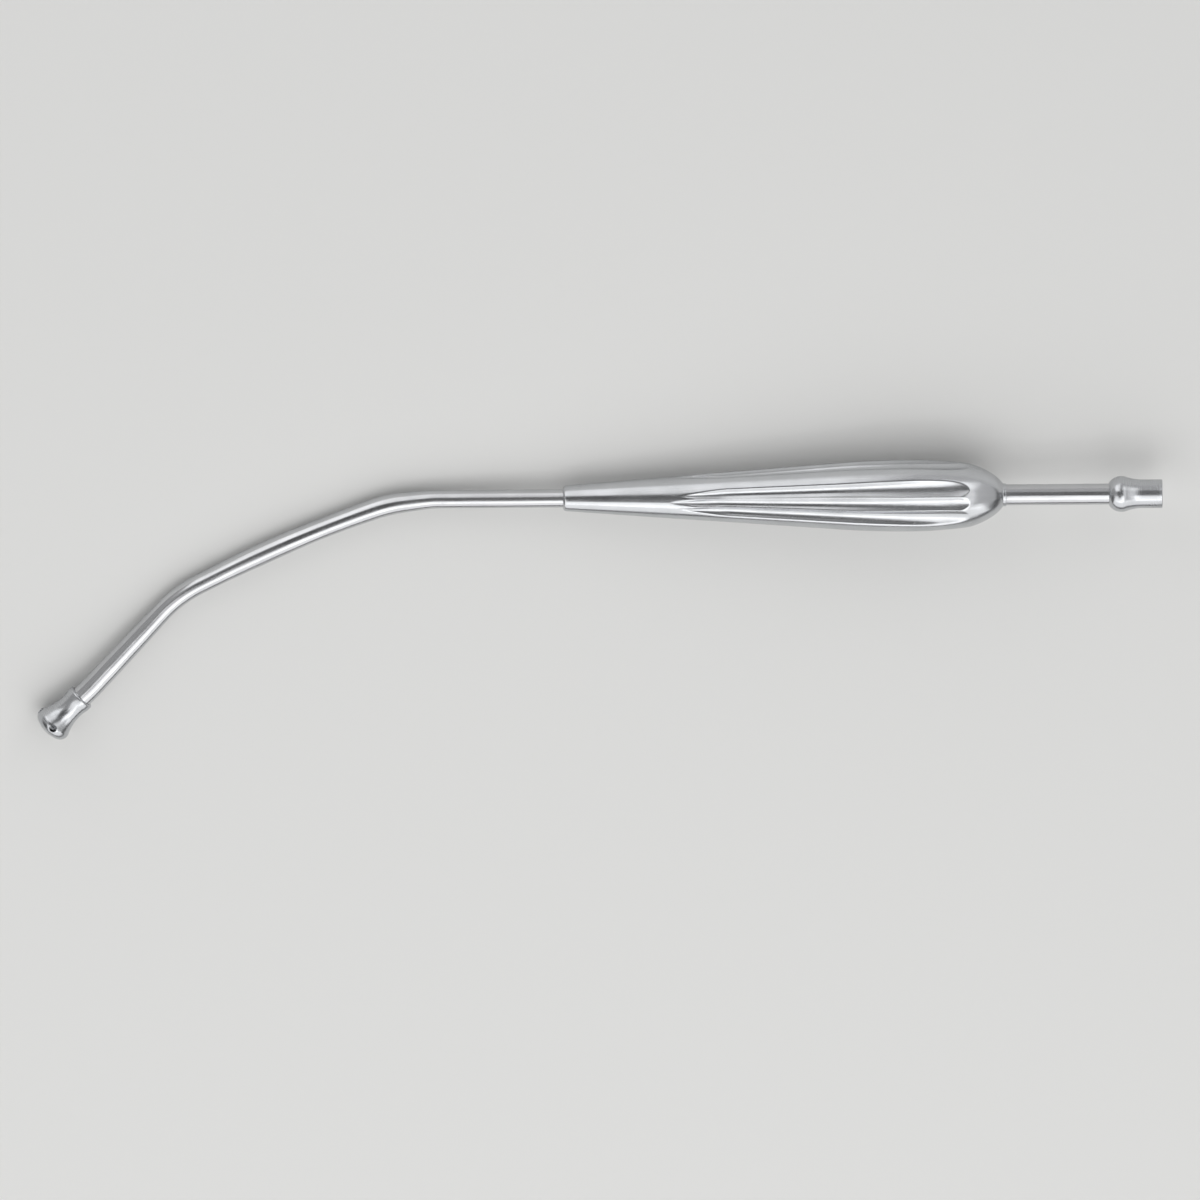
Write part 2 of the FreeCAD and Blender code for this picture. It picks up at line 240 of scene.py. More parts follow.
def handle_radius(x):
    """The handle's radius before it is fluted."""
    if x <= CONE_LENGTH:
        return NOSE_RADIUS + cone_slope * x
    for cx, cy, radius, _, end in crown:
        if x <= cx + radius * math.cos(math.radians(end)):
            return cy + math.sqrt(radius**2 - (x - cx) ** 2)
    return NECK_RADIUS


print("belly", round(belly_x, 2), round(belly_radius, 2), "handle end", round(handle_end, 2))

# %% [markdown]
# ## The flutes
# A flute is ground by a round-edged tool whose line passes through the cone's apex, so the groove
# widens with the handle. A displacement map would blur the ridges, so the groove is worked out
# instead: at each distance the tool is a circle, and the lines of the mesh follow the places where
# that circle meets the handle or the neighbouring groove. The outer grooves of a group lean in
# towards the nose, so the grid lines run into the long point just as the real edges do.

# %% Flute geometry
FLUTE_PITCH = 24.3
FLUTE_DEPTH = 1.55
RIDGE_DROP = 0.2
FLUTE_START = 26.0
FLUTE_STAGGER = 2.2
FLUTE_RUN_IN = 14.0
FLUTE_RUN_OUT = 7.5
FLUTE_END = 102.8
FLUTE_DRAW_IN = 0.55
FULL_PITCH_PLACE = 95.0
LEVEL_FROM = 97.0
LEAST_DEPTH = 1e-4
FLUTE_GROUPS = [(0, 3), (90, 2), (180, 3), (270, 2)]

half_pitch = math.radians(FLUTE_PITCH / 2)
crest = belly_radius - RIDGE_DROP
belly_bottom = belly_radius - FLUTE_DEPTH
sagitta = crest * math.cos(half_pitch) - belly_bottom
groove_at_belly = ((crest * math.sin(half_pitch)) ** 2 + sagitta**2) / (2 * sagitta)
bottom_share = belly_bottom / belly_radius
axis_share = bottom_share + groove_at_belly / belly_radius
over_belly = bend_through(
    (CONE_LENGTH, CONE_RADIUS * bottom_share), (belly_x, belly_bottom), (LEVEL_FROM, belly_bottom))
end_rise = handle_radius(FLUTE_END) - over_belly(FLUTE_END)


def smooth_step(share):
    """Rises from 0 to 1 with a soft start and a soft end."""
    share = max(0.0, min(1.0, share))
    return share * share * (3 - 2 * share)


def flute_bottom(x, start):
    """The radius of the groove's bottom line at x, for a groove that starts at that place.

    The tool sinks in slowly, so each groove starts with a long point. It ends where the cap falls
    away to the bottom line, which rises a little there.
    """
    surface = handle_radius(x)
    if x >= FLUTE_END:
        return surface
    if x < CONE_LENGTH:
        deepest = surface * bottom_share
    else:
        rise = max(0.0, x - FLUTE_END + FLUTE_RUN_OUT) / FLUTE_RUN_OUT
        deepest = over_belly(x) + end_rise * rise**2
    return surface - (surface - deepest) * smooth_step((x - start) / FLUTE_RUN_IN)


def grooves_at(x):
    """Each groove at x, in order round the handle: its direction, and its tool's place and radius.

    The last value is half the angle that the groove takes of the plain surface.
    """
    surface = handle_radius(x)
    centre = axis_share * (NOSE_RADIUS + cone_slope * x)
    lean = math.tan(math.radians(FLUTE_DRAW_IN)) * (FULL_PITCH_PLACE - x)
    grooves = []
    for middle, count in FLUTE_GROUPS:
        for k in range(count):
            offset = k - (count - 1) / 2
            bottom = flute_bottom(x, FLUTE_START + abs(offset) * FLUTE_STAGGER)
            tool = centre - bottom
            width = 0.0
            if surface > bottom + LEAST_DEPTH:
                cosine = (surface**2 + centre**2 - tool**2) / (2 * surface * centre)
                width = math.acos(max(-1.0, min(1.0, cosine)))
            angle = math.radians(middle + offset * FLUTE_PITCH)
            angle -= offset * math.atan(lean / centre)
            grooves.append((angle, centre, tool, width))
    return grooves


print("groove radius at the belly", round(groove_at_belly, 2))

# %% [markdown]
# ## Softened ridges
# A polishing mop takes the sharpness off each ridge, and the rounded ridge then carries a thin
# line of light along its whole length. Each radius is therefore a weighted mean of the sharp
# outline a little to both sides of it.

# %% Softened outline
SOFTNESS = 1.3
SAMPLE_GAP = 0.6
SAMPLES_EACH_WAY = 4
NEAR_GROOVE = 0.06

sample_places = [k * SAMPLE_GAP for k in range(-SAMPLES_EACH_WAY, SAMPLES_EACH_WAY + 1)]
soft_steps = [(k, math.exp(-0.5 * k**2)) for k in sample_places]
soft_total = sum(weight for _, weight in soft_steps)


def turn_from(middle, angle):
    """The turn from one direction to another, at most half a turn either way."""
    return (angle - middle + math.pi) % (2 * math.pi) - math.pi


def sharp_radius(angle, surface, grooves):
    """The fluted handle's radius in one direction, with sharp ridges."""
    radius = surface
    for middle, centre, tool, width in grooves:
        turn = turn_from(middle, angle)
        if abs(turn) < width:
            cut = math.sqrt(tool**2 - (centre * math.sin(turn)) ** 2)
            radius = min(radius, centre * math.cos(turn) - cut)
    return radius


def soft_radius(angle, surface, grooves):
    """The same radius, as a weighted mean that reaches about three degrees to each side."""
    near = [g for g in grooves if abs(turn_from(g[0], angle)) < g[3] + NEAR_GROOVE]
    if not near:
        return surface
    step = math.radians(SOFTNESS)
    total = sum(
        weight * sharp_radius(angle + k * step, surface, near) for k, weight in soft_steps)
    return total / soft_total


print("softening reaches", round(SOFTNESS * sample_places[-1], 1), "degrees each way")

# %% [markdown]
# ## The handle's skin
# Each ring of the handle runs once round it: through every groove, over the ridges and across the
# smooth lands. Points crowd towards a groove's edges, where the surface turns fastest.

# %% Build the handle
GROOVE_STEPS = 20
LAND_STEPS = 12
RIDGE_STEPS = 2
LEAST_WIDTH = math.radians(1)
WIDE_GAP = math.radians(30)
PLAIN_AT = 1.5
LAY_RADIUS = 8.0
NOSE_BORE_LENGTH = 3.6
REAR_BORE_LENGTH = 6.0
NECK_BLEND = 0.15
END_STEP = 0.2
# Where each stretch of rings starts and ends, and its steps. They are closer where a flute
# starts or ends.
RING_STRETCHES = [
    (PLAIN_AT, FLUTE_START - 0.5, 12),
    (FLUTE_START, 42.0, 90),
    (42.4, CONE_LENGTH, 36),
    (CONE_LENGTH + 0.8, 93.0, 32),
    (93.3, FLUTE_END + 0.2, 50),
    (FLUTE_END + 0.6, handle_end - 1.2, 20),
]


def handle_ring(x):
    """One ring of the handle, as angles and radii, with lines that follow the grooves' edges."""
    surface = handle_radius(x)
    grooves = grooves_at(x)
    ring = []
    for k, (angle, _, _, width) in enumerate(grooves):
        following = grooves[(k + 1) % len(grooves)]
        to_next = (following[0] - angle) % (2 * math.pi)
        to_last = (angle - grooves[k - 1][0]) % (2 * math.pi)
        # A groove reaches to its own edge, or half way to a neighbour that crosses it.
        before = min(max(width, LEAST_WIDTH), to_last / 2)
        after = min(max(width, LEAST_WIDTH), to_next / 2)
        for j in range(GROOVE_STEPS + 1):
            share = math.sin(math.pi * (j / GROOVE_STEPS - 0.5))
            ring.append(angle + share * (before if share < 0 else after))
        gap_start = angle + after
        gap_end = angle + to_next - min(max(following[3], LEAST_WIDTH), to_next / 2)
        steps = LAND_STEPS if to_next > WIDE_GAP else RIDGE_STEPS
        ring += spread(gap_start, gap_end, steps)[1:-1]
    return [(angle, soft_radius(angle, surface, grooves)) for angle in ring]


def handle_places():
    """The distances along the handle at which its rings stand."""
    places = []
    for start, end, count in RING_STRETCHES:
        places += spread(start, end, count)
    return places + [handle_end - END_STEP * k for k in (4, 3, 2, 1, 0)]


def build_handle():
    """The fluted skin from the nose to the neck, and back to the nose along a plain bore."""
    cone_at_rounding = NOSE_RADIUS + cone_slope * NOSE_ROUNDING
    nose_y = cone_at_rounding - NOSE_ROUNDING / math.cos(math.radians(cone_lean))
    corner = neck_end - NECK_ROUNDING
    plain = [angle for angle, _ in handle_ring(PLAIN_AT)]
    front = arc(NOSE_ROUNDING, nose_y, NOSE_ROUNDING, 180, 90 + cone_lean, 10)
    back = [(handle_end + NECK_BLEND, NECK_RADIUS)]
    back += arc(corner, NECK_RADIUS - NECK_ROUNDING, NECK_ROUNDING, 90, 0, 5)
    back += [
        (neck_end, REAR_BORE), (handle_end - REAR_BORE_LENGTH, REAR_BORE),
        (NOSE_BORE_LENGTH, NOSE_BORE), (0, NOSE_BORE),
    ]
    polar = [(x, [(angle, y) for angle in plain]) for x, y in front]
    polar += [(x, handle_ring(x)) for x in handle_places()]
    polar += [(x, [(angle, y) for angle in plain]) for x, y in back]
    # Angles start at the flank, +Z, and turn towards the handle's upper edge, +Y.
    rings = [[Vector((x, r * math.sin(a), r * math.cos(a))) for a, r in ring]
             for x, ring in polar]
    # The lay has one radius all along, so that the marks run straight up the cone.
    lays = [[Vector((x, LAY_RADIUS * math.sin(a), LAY_RADIUS * math.cos(a))) for a, _ in ring]
            for x, ring in polar]
    return skin("fluted_handle", rings, lays, crease=60)


handle = build_handle()
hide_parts("handle")

# %% [markdown]
# ## The bent tube
# The tube was drawn in one piece, flared where it leaves the straight stretch, and bent over
# formers, so its width swells and narrows a little along the sweep. It is swept as circles along
# the route of runs and bends, and its width follows a few stops joined by smooth steps.

# %% Tube route
TUBE_END = 108.105
TUBE_WALL = 0.45
FIRST_BEND_AT = 31.5
# A run has a length in millimetres. A bend has a turn in degrees and a radius.
ROUTE = [
    ("run", TUBE_END + FIRST_BEND_AT, 0),
    ("bend", 6.0, 34.0),
    ("run", 5.0, 0),
    ("bend", 13.3, 34.0),
    ("bend", 7.6, 320.0),
    ("run", 6.0, 0),
    ("bend", 20.5, 34.0),
    ("run", 25.0, 0),
    ("bend", -3.5, 60.0),
    ("run", 7.0, 0),
]
# Distance from the handle's nose along the tube, and the tube's radius there.
WIDTHS = [
    (-200, 2.3), (31, 2.3), (45, 2.67), (60, 2.52), (78, 2.70), (96, 2.47), (108, 2.42),
    (120, 2.62), (130, 2.74), (138, 2.8), (300, 2.8),
]
STEP = 1.0


def tube_radius(distance):
    """The tube's radius at a distance from the handle's nose."""
    for (x0, r0), (x1, r1) in zip(WIDTHS, WIDTHS[1:]):
        if distance <= x1:
            return r0 + (r1 - r0) * smooth_step((distance - x0) / (x1 - x0))
    return WIDTHS[-1][1]


def heading_vector(heading):
    """The direction of a heading in degrees, in the plane of the bends."""
    return Vector((math.cos(math.radians(heading)), math.sin(math.radians(heading)), 0))


def follow_route():
    """Places on the tube's centre line, with the heading and the distance walked."""
    place, heading, walked = Vector((TUBE_END, 0, 0)), 180.0, -TUBE_END
    stations = [(place.copy(), heading, walked)]
    for kind, size, radius in ROUTE:
        length = size if kind == "run" else math.radians(abs(size)) * radius
        count = max(2, round(length / STEP))
        for _ in range(count):
            if kind == "run":
                place = place + heading_vector(heading) * (length / count)
            else:
                turn = size / count
                chord = 2 * radius * math.sin(math.radians(abs(turn) / 2))
                place = place + heading_vector(heading + turn / 2) * chord
                heading += turn
            walked += length / count
            stations.append((place.copy(), heading, walked))
    return stations


stations = follow_route()
tip_place, tip_heading, tip_walked = stations[-1]
print("tube end", [round(v, 3) for v in tip_place], "heading", round(tip_heading, 2),
      "walked", round(tip_walked, 2))

# %% Build the tube
TUBE_SEGMENTS = 64


def build_tube():
    """The tube's skin along the route, and back along its bore."""
    rings = []
    lays = []

    def add(station, inset):
        place, heading, walked = station
        outward = heading_vector(heading - 90)
        radius = tube_radius(walked) - inset
        ring = []
        lay = []
        for k in range(TUBE_SEGMENTS):
            a = 2 * math.pi * k / TUBE_SEGMENTS
            upward = Vector((0, 0, radius * math.sin(a)))
            ring.append(place + outward * radius * math.cos(a) + upward)
            lay.append(Vector((-walked, radius * math.cos(a), radius * math.sin(a))))
        rings.append(ring)
        lays.append(lay)

    for station in stations:
        add(station, 0)
    for station in reversed(stations):
        add(station, TUBE_WALL)
    return skin("bent_tube", rings, lays, crease=60)


tube = build_tube()
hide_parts("suction_tube")

# %% [markdown]
# ## The suction head
# The head is a small turned bulb: a collar over the tube, a waist, a flared rim and a dome. Its
# arcs touch one another, so the light runs over it without a break. The mouth is turned with the
# outline, and the four side holes are then drilled with a Boolean, which cuts true edges that a
# texture couldn't give.

# %% Head outline
HEAD_LENGTH = 12.9
HEAD_SOCKET = 5.5
COLLAR_RADIUS = 3.56
COLLAR_ROUNDING = 0.45
WAIST_X = 3.95
WAIST_RADIUS = 3.31
RIM_X = 10.2
RIM_RADIUS = 4.82
RIM_ROUNDING = 2.1
MOUTH_RADIUS = 1.8
MOUTH_ROUNDING = 0.35
SIDE_HOLES = 4
SIDE_HOLE_RADIUS = 0.95
SIDE_HOLE_EASE = 0.22
CHAMBER_PAST_HOLES = 0.3
TIP_TUBE_RADIUS = 2.8
SKIN_GAP = 0.01


def head_outline():
    """The head's outside from the collar to the mouth, and back along its chamber and socket."""
    rim = (RIM_X, RIM_RADIUS - RIM_ROUNDING)
    reach = RIM_X - WAIST_X
    drop = WAIST_RADIUS - rim[1]
    waist_curve = (reach**2 + drop**2 - RIM_ROUNDING**2) / (2 * (RIM_ROUNDING - drop))
    waist = (WAIST_X, WAIST_RADIUS + waist_curve)
    back = HEAD_LENGTH - RIM_X
    dome_curve = (back**2 + rim[1] ** 2 - RIM_ROUNDING**2) / (2 * (back - RIM_ROUNDING))
    dome = (HEAD_LENGTH - dome_curve, 0)
    waist_start = WAIST_X - math.sqrt(waist_curve**2 - (waist[1] - COLLAR_RADIUS) ** 2)
    rim_start = angle_to(rim, waist)
    rim_end = angle_to(dome, rim)
    lumen = TIP_TUBE_RADIUS - TUBE_WALL
    # The dome's edge rolls into the mouth.
    mouth_angle = math.degrees(math.asin((MOUTH_RADIUS + MOUTH_ROUNDING) / dome_curve))
    mouth_x = dome[0] + (dome_curve - MOUTH_ROUNDING) * math.cos(math.radians(mouth_angle))
    outline = arc(COLLAR_ROUNDING, COLLAR_RADIUS - COLLAR_ROUNDING, COLLAR_ROUNDING, 180, 90, 10)
    waist_from = angle_to(waist, (waist_start, COLLAR_RADIUS))
    outline += arc(*waist, waist_curve, waist_from, angle_to(waist, rim), 40)
    outline += arc(*rim, RIM_ROUNDING, rim_start, rim_end, 40)[1:]
    outline += arc(*dome, dome_curve, rim_end, mouth_angle, 12)[1:]
    mouth_y = MOUTH_RADIUS + MOUTH_ROUNDING
    outline += arc(mouth_x, mouth_y, MOUTH_ROUNDING, mouth_angle, -90, 10)[1:]
    chamber_end = RIM_X + SIDE_HOLE_RADIUS + CHAMBER_PAST_HOLES
    outline += [
        (chamber_end, MOUTH_RADIUS), (chamber_end, lumen), (HEAD_SOCKET, lumen),
        (HEAD_SOCKET, TIP_TUBE_RADIUS + SKIN_GAP), (0, TIP_TUBE_RADIUS + SKIN_GAP),
    ]
    return outline


print("head outline", len(head_outline()), "points")

# %% A drill with a flared shank
DRILL_SEGMENTS = 48
SHANK_LENGTH = 3.0
SHANK_FLARE = 0.6


def drill(name, radius, ease, top, turn):
    """A cutter that stands on the head's axis, with a flared shank that eases the hole's edge."""
    mesh = bpy.data.meshes.new(name)
    shape = bmesh.new()
    flare_start = top - ease * 1.6
    outline = [(0, 0), (0, radius), (flare_start, radius)]
    outline += arc(flare_start, radius + 2 * ease, 2 * ease, 270, 340, 6)[1:]
    outline += [(top + SHANK_LENGTH, outline[-1][1] + SHANK_FLARE), (top + SHANK_LENGTH, 0)]
    for x, y in outline:
        shape.verts.new((x, y, 0))
    shape.verts.ensure_lookup_table()
    for k in range(len(outline) - 1):
        shape.edges.new((shape.verts[k], shape.verts[k + 1]))
    bmesh.ops.spin(shape, geom=shape.verts[:] + shape.edges[:], cent=(0, 0, 0), axis=(1, 0, 0),
                   angle=2 * math.pi, steps=DRILL_SEGMENTS, use_merge=True)
    bmesh.ops.remove_doubles(shape, verts=shape.verts, dist=1e-5)
    bmesh.ops.recalc_face_normals(shape, faces=shape.faces)
    shape.transform(turn)
    shape.to_mesh(mesh)
    shape.free()
    cutter = bpy.data.objects.new(name, mesh)
    bpy.context.scene.collection.objects.link(cutter)
    return cutter


print("side holes", SIDE_HOLES, "of", 2 * SIDE_HOLE_RADIUS, "mm")

# %% Build the head and drill it
LATHE_SEGMENTS = 160
HEAD_CREASE = 35

head_place = Matrix.Translation(tip_place - heading_vector(tip_heading) * HEAD_SOCKET)
head_place = head_place @ Matrix.Rotation(math.radians(tip_heading), 4, "Z")


def build_head():
    """The turned head, with its side holes drilled one after another."""
    head = turned("suction_head", head_outline(), segments=LATHE_SEGMENTS, place=head_place)
    bpy.context.view_layer.update()
    for k in range(SIDE_HOLES):
        round_head = Matrix.Rotation(math.radians(360 / SIDE_HOLES * k), 4, "X")
        outward = round_head @ Matrix.Rotation(math.radians(-90), 4, "Y")
        turn = INSTRUMENT @ head_place @ Matrix.Translation((RIM_X, 0, 0)) @ outward
        cutter = drill("drill", SIDE_HOLE_RADIUS, SIDE_HOLE_EASE, RIM_RADIUS, turn)
        cut = head.modifiers.new("side_hole", "BOOLEAN")
        cut.operation = "DIFFERENCE"
        cut.solver = "EXACT"
        cut.object = cutter
        bpy.context.view_layer.update()
        evaluated = head.evaluated_get(bpy.context.evaluated_depsgraph_get())
        drilled = bpy.data.meshes.new_from_object(evaluated)
        head.modifiers.clear()
        head.data = drilled
        bpy.data.objects.remove(cutter)
    head.data.shade_smooth()
    head.data.set_sharp_from_angle(angle=math.radians(HEAD_CREASE))
    print("head faces", len(head.data.polygons))
    return head


head = build_head()
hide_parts("tip_head")

# %% [markdown]
# ## The rear tube and the hose connector
# The rear tube is plain. The connector is turned from bar: a bulb that holds the hose, then a long
# hollow blend into the barrel. The bore's edge is broken, so it shows a fine bright ring.

# %% Build the rear tube
REAR_TUBE_RADIUS = 2.65
REAR_LUMEN = 2.35
REAR_TUBE_INSERT = 14.0
REAR_TUBE_SEGMENTS = 96
CONNECTOR_LENGTH = 13.5
CONNECTOR_SOCKET = 8.0


def build_rear_tube():
    """A plain tube from inside the handle into the connector's socket."""
    start = neck_end - REAR_TUBE_INSERT
    end = CONNECTOR_END - CONNECTOR_LENGTH + CONNECTOR_SOCKET
    outline = [(x, REAR_TUBE_RADIUS) for x in spread(start, end, 24)]
    outline += [(x, REAR_LUMEN) for x in spread(end, start, 24)]
    return turned("rear_tube_skin", outline, segments=REAR_TUBE_SEGMENTS)


rear_tube = build_rear_tube()
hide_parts("rear_tube")

# %% Build the hose connector
BARREL_RADIUS = 3.62
BARREL_CHAMFER = 0.2
BULB_RADIUS = 4.55
BULB_FROM_END = 10.4
BULB_CURVE = 3.75
BARREL_BLEND = 12.0
LUMEN_CHAMFER = 0.25


def connector_outline():
    """The connector's outside from its back to the barrel's end, and back along its bore."""
    back_x = CONNECTOR_END - CONNECTOR_LENGTH
    bulb = (CONNECTOR_END - BULB_FROM_END, BULB_RADIUS - BULB_CURVE)
    back_y = bulb[1] + math.sqrt(BULB_CURVE**2 - (bulb[0] - back_x) ** 2)
    blend_y = BARREL_RADIUS + BARREL_BLEND
    blend_x = bulb[0] + math.sqrt((BULB_CURVE + BARREL_BLEND) ** 2 - (blend_y - bulb[1]) ** 2)
    blend = (blend_x, blend_y)
    bulb_start = angle_to(bulb, (back_x, back_y))
    outline = [(back_x, REAR_TUBE_RADIUS + SKIN_GAP)]
    outline += arc(*bulb, BULB_CURVE, bulb_start, angle_to(bulb, blend), 40)
    outline += arc(*blend, BARREL_BLEND, angle_to(blend, bulb), -90, 24)[1:]
    edge_x = CONNECTOR_END - BARREL_CHAMFER
    outline += [(x, BARREL_RADIUS) for x in spread(blend_x, edge_x, 4)[1:-1]]
    outline += arc(edge_x, BARREL_RADIUS - BARREL_CHAMFER, BARREL_CHAMFER, 90, 0, 5)
    outline += [
        (CONNECTOR_END, REAR_LUMEN + LUMEN_CHAMFER), (CONNECTOR_END - LUMEN_CHAMFER, REAR_LUMEN),
        (back_x + CONNECTOR_SOCKET, REAR_LUMEN),
        (back_x + CONNECTOR_SOCKET, REAR_TUBE_RADIUS + SKIN_GAP),
    ]
    return outline


connector = turned("hose_connector_skin", connector_outline(), segments=LATHE_SEGMENTS)
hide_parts("hose_connector")

# %% [markdown]
# ## Satin-polished steel
# Surgical steel is finished on a soft wheel: it reflects its surroundings, but softly, with very
# fine marks that run the way the piece was held. One node group makes those marks and the faint
# cloudiness between them from the stored lay, and each material sets how strong they are and
# whether they run along or round the piece.

# %% Polishing marks, as a node group
MARKS_SHARE = 0.45
EVEN_BELOW = 0.35
EVEN_ABOVE = 0.65


def add_socket(group, name, direction, kind, value=None):
    """One named input or output of the group."""
    socket = group.interface.new_socket(name, in_out=direction, socket_type=kind)
    if value is not None:
        socket.default_value = value


def make_polish_group():
    """Stretched noise for the marks and plain noise for the clouds, mixed to colour and roughness."""
    group = bpy.data.node_groups.new("polishing_marks", "ShaderNodeTree")
    add_socket(group, "Marks Along", "INPUT", "NodeSocketFloat", 0.05)
    add_socket(group, "Marks Across", "INPUT", "NodeSocketFloat", 9.0)
    add_socket(group, "Cloud Scale", "INPUT", "NodeSocketFloat", 0.12)
    add_socket(group, "Metal", "INPUT", "NodeSocketColor", (0.6, 0.6, 0.6, 1))
    add_socket(group, "Shade", "INPUT", "NodeSocketColor", (0.5, 0.5, 0.5, 1))
    add_socket(group, "Smooth", "INPUT", "NodeSocketFloat", 0.18)
    add_socket(group, "Rough", "INPUT", "NodeSocketFloat", 0.3)
    add_socket(group, "Color", "OUTPUT", "NodeSocketColor")
    add_socket(group, "Roughness", "OUTPUT", "NodeSocketFloat")
    add_socket(group, "Height", "OUTPUT", "NodeSocketFloat")
    nodes, links = group.nodes, group.links
    given = nodes.new("NodeGroupInput")
    result = nodes.new("NodeGroupOutput")
    lay = nodes.new("ShaderNodeAttribute")
    lay.attribute_name = LAY
    scales = nodes.new("ShaderNodeCombineXYZ")
    links.new(given.outputs["Marks Along"], scales.inputs["X"])
    links.new(given.outputs["Marks Across"], scales.inputs["Y"])
    links.new(given.outputs["Marks Across"], scales.inputs["Z"])
    stretched = nodes.new("ShaderNodeVectorMath")
    stretched.operation = "MULTIPLY"
    links.new(lay.outputs["Vector"], stretched.inputs[0])
    links.new(scales.outputs["Vector"], stretched.inputs[1])
    marks = nodes.new("ShaderNodeTexNoise")
    marks.inputs["Scale"].default_value = 1.0
    marks.inputs["Detail"].default_value = 4.0
    marks.inputs["Roughness"].default_value = 0.6
    links.new(stretched.outputs["Vector"], marks.inputs["Vector"])
    cloud = nodes.new("ShaderNodeTexNoise")
    cloud.inputs["Detail"].default_value = 3.0
    links.new(given.outputs["Cloud Scale"], cloud.inputs["Scale"])
    links.new(lay.outputs["Vector"], cloud.inputs["Vector"])
    blend = nodes.new("ShaderNodeMix")
    blend.data_type = "FLOAT"
    blend.inputs["Factor"].default_value = MARKS_SHARE
    links.new(cloud.outputs["Fac"], blend.inputs["A"])
    links.new(marks.outputs["Fac"], blend.inputs["B"])
    steep = nodes.new("ShaderNodeMapRange")
    steep.inputs["From Min"].default_value = EVEN_BELOW
    steep.inputs["From Max"].default_value = EVEN_ABOVE
    links.new(blend.outputs["Result"], steep.inputs["Value"])
    rough = nodes.new("ShaderNodeMapRange")
    links.new(steep.outputs["Result"], rough.inputs["Value"])
    links.new(given.outputs["Smooth"], rough.inputs["To Min"])
    links.new(given.outputs["Rough"], rough.inputs["To Max"])
    colour = nodes.new("ShaderNodeMix")
    colour.data_type = "RGBA"
    links.new(steep.outputs["Result"], colour.inputs["Factor"])
    links.new(given.outputs["Metal"], colour.inputs["A"])
    links.new(given.outputs["Shade"], colour.inputs["B"])
    links.new(colour.outputs["Result"], result.inputs["Color"])
    links.new(rough.outputs["Result"], result.inputs["Roughness"])
    links.new(marks.outputs["Fac"], result.inputs["Height"])
    return group


polish_group = make_polish_group()
print("group", polish_group.name, "nodes", len(polish_group.nodes))

# %% [markdown]
# ## A material for each way of polishing
# The handle and the tubes were polished lengthwise, so their marks run along them. The head and
# the connector were polished while they spun on the lathe, so theirs run round.

# %% Materials
# How often the marks change in a millimetre, along the piece and across it.
LENGTHWISE = (0.05, 7.0)
ROUND = (7.0, 0.25)
MARK_DEPTH = 0.00002


def steel(name, marks, metal, shade, smooth, rough, strength):
    """A satin steel material whose marks run lengthwise or round."""
    material = bpy.data.materials.new(name)
    material.use_nodes = True
    nodes, links = material.node_tree.nodes, material.node_tree.links
    shader = nodes["Principled BSDF"]
    shader.inputs["Metallic"].default_value = 1.0
    polish = nodes.new("ShaderNodeGroup")
    polish.node_tree = polish_group
    polish.inputs["Marks Along"].default_value = marks[0]
    polish.inputs["Marks Across"].default_value = marks[1]
    polish.inputs["Metal"].default_value = (*metal, 1)
    polish.inputs["Shade"].default_value = (*shade, 1)
    polish.inputs["Smooth"].default_value = smooth
    polish.inputs["Rough"].default_value = rough
    bump = nodes.new("ShaderNodeBump")
    bump.inputs["Strength"].default_value = strength
    bump.inputs["Distance"].default_value = MARK_DEPTH
    links.new(polish.outputs["Color"], shader.inputs["Base Color"])
    links.new(polish.outputs["Roughness"], shader.inputs["Roughness"])
    links.new(polish.outputs["Height"], bump.inputs["Height"])
    links.new(bump.outputs["Normal"], shader.inputs["Normal"])
    return material


handle_steel = steel(
    "handle_steel", LENGTHWISE, metal=(0.61, 0.62, 0.64), shade=(0.53, 0.54, 0.555),
    smooth=0.19, rough=0.28, strength=0.12)
tube_steel = steel(
    "tube_steel", LENGTHWISE, metal=(0.605, 0.61, 0.625), shade=(0.53, 0.535, 0.55),
    smooth=0.17, rough=0.26, strength=0.15)
head_steel = steel(
    "head_steel", ROUND, metal=(0.575, 0.585, 0.605), shade=(0.49, 0.5, 0.515),
    smooth=0.2, rough=0.3, strength=0.06)

for piece, material, slot in (
        (handle, handle_steel, "handle_steel"),
        (tube, tube_steel, "tube_steel"),
        (rear_tube, tube_steel, "tube_steel"),
        (head, head_steel, "head_steel"),
        (connector, head_steel, "head_steel")):
    piece.data.materials.clear()
    piece.data.materials.append(material)
    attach(piece, "root")
print("materials", [m.name for m in bpy.data.materials])

# %% [markdown]
# ## The camera
# The photograph looks down on the instrument with a long lens. The handle is rolled a little
# about its own line, so the camera stands sixteen degrees from the flank, towards the instrument's
# upper edge. The view is built from the instrument's axes, and then rolled by the small tilt of
# the handle's line in the picture.

# %% Camera
ROLL_TO_CAMERA = 16.0
PICTURE_TILT = 0.45
PICTURE_WIDTH_M = 0.3035
CAMERA_DISTANCE = 8.0
NOSE_IN_PICTURE = (563.0, 498.3)
PICTURE_SIDE = 1200
SENSOR_WIDTH_MM = 36.0
CLIP_END = 50.0

roll = math.radians(ROLL_TO_CAMERA)
to_camera = flank * math.cos(roll) + side * math.sin(roll)
picture_up = side * math.cos(roll) - flank * math.sin(roll)
tilt = Matrix.Rotation(math.radians(-PICTURE_TILT), 3, to_camera)
right = tilt @ along
up = tilt @ picture_up
metres_per_pixel = PICTURE_WIDTH_M / PICTURE_SIDE
aim = (nose + right * (PICTURE_SIDE / 2 - NOSE_IN_PICTURE[0]) * metres_per_pixel
       - up * (PICTURE_SIDE / 2 - NOSE_IN_PICTURE[1]) * metres_per_pixel)

